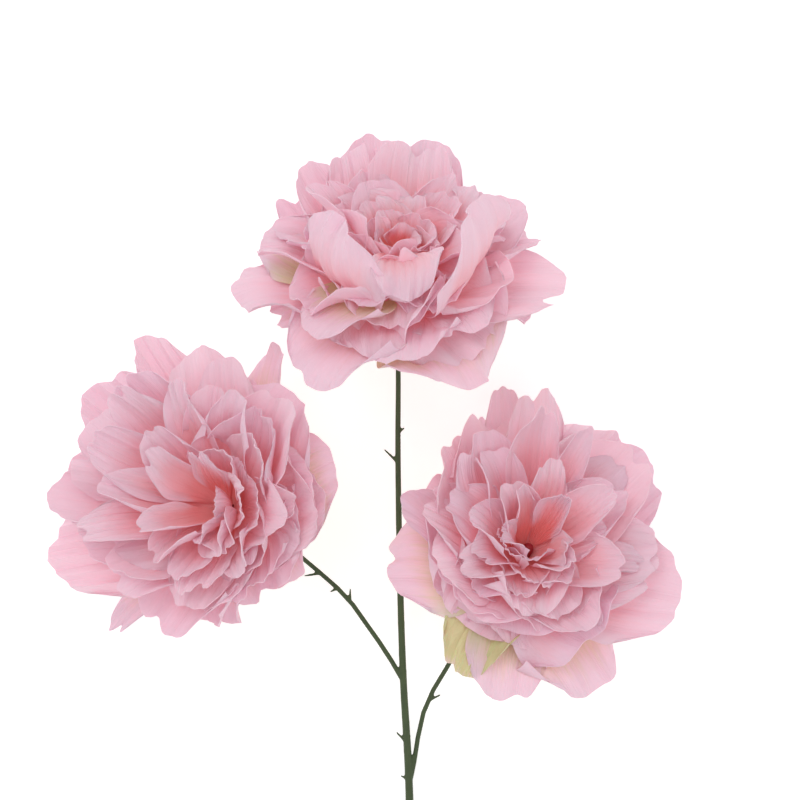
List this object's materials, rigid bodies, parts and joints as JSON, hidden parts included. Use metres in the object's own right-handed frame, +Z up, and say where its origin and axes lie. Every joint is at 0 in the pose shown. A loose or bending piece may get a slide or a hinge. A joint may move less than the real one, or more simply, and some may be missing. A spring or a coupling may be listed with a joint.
{
  "type": "peony spray",
  "caption": "Cut spray of large double pink peony blooms on one thin branched stem, lying on a surface; cut flower for a vase or table.",
  "frame": {"origin": "centre of the spray's box, on the surface that it lies on", "axes": "+Z up from the surface; +Y along the stem, from the cut end towards the top bloom; +X to the side of the right bloom"},
  "size_m": [0.2616, 0.3846, 0.1209],
  "materials": {
    "petals": "soft matte petal cloth, rose at the foot and pale lilac pink at the rim",
    "guard_petals": "soft matte petal cloth, pale pink, cream green at the foot",
    "stem": "dull dark green with fine ribs",
    "receptacle": "dull mid green"
  },
  "bodies": {
    "root": {"main_stem": "stem", "left_branch": "stem", "right_branch": "stem", "top_receptacle": "receptacle", "top_guard_petal_1": "guard_petals", "top_guard_petal_2": "guard_petals", "top_guard_petal_3": "guard_petals", "top_guard_petal_4": "guard_petals", "top_guard_petal_5": "guard_petals", "top_guard_petal_6": "guard_petals", "top_petal_ring_1": "petals", "top_petal_ring_2": "petals", "top_petal_ring_3": "petals", "top_petal_ring_4": "petals", "top_petal_ring_5": "petals", "top_petal_ring_6": "petals", "top_petal_ring_7": "petals", "top_petal_ring_8": "petals", "left_receptacle": "receptacle", "left_guard_petal_1": "guard_petals", "left_guard_petal_2": "guard_petals", "left_guard_petal_3": "guard_petals", "left_guard_petal_4": "guard_petals", "left_guard_petal_5": "guard_petals", "left_guard_petal_6": "guard_petals", "left_petal_ring_1": "petals", "left_petal_ring_2": "petals", "left_petal_ring_3": "petals", "left_petal_ring_4": "petals", "left_petal_ring_5": "petals", "left_petal_ring_6": "petals", "left_petal_ring_7": "petals", "left_petal_ring_8": "petals", "right_receptacle": "receptacle", "right_guard_petal_1": "guard_petals", "right_guard_petal_2": "guard_petals", "right_guard_petal_3": "guard_petals", "right_guard_petal_4": "guard_petals", "right_guard_petal_5": "guard_petals", "right_guard_petal_6": "guard_petals", "right_petal_ring_1": "petals", "right_petal_ring_2": "petals", "right_petal_ring_3": "petals", "right_petal_ring_4": "petals", "right_petal_ring_5": "petals", "right_petal_ring_6": "petals", "right_petal_ring_7": "petals", "right_petal_ring_8": "petals"}
  },
  "joints": []
}
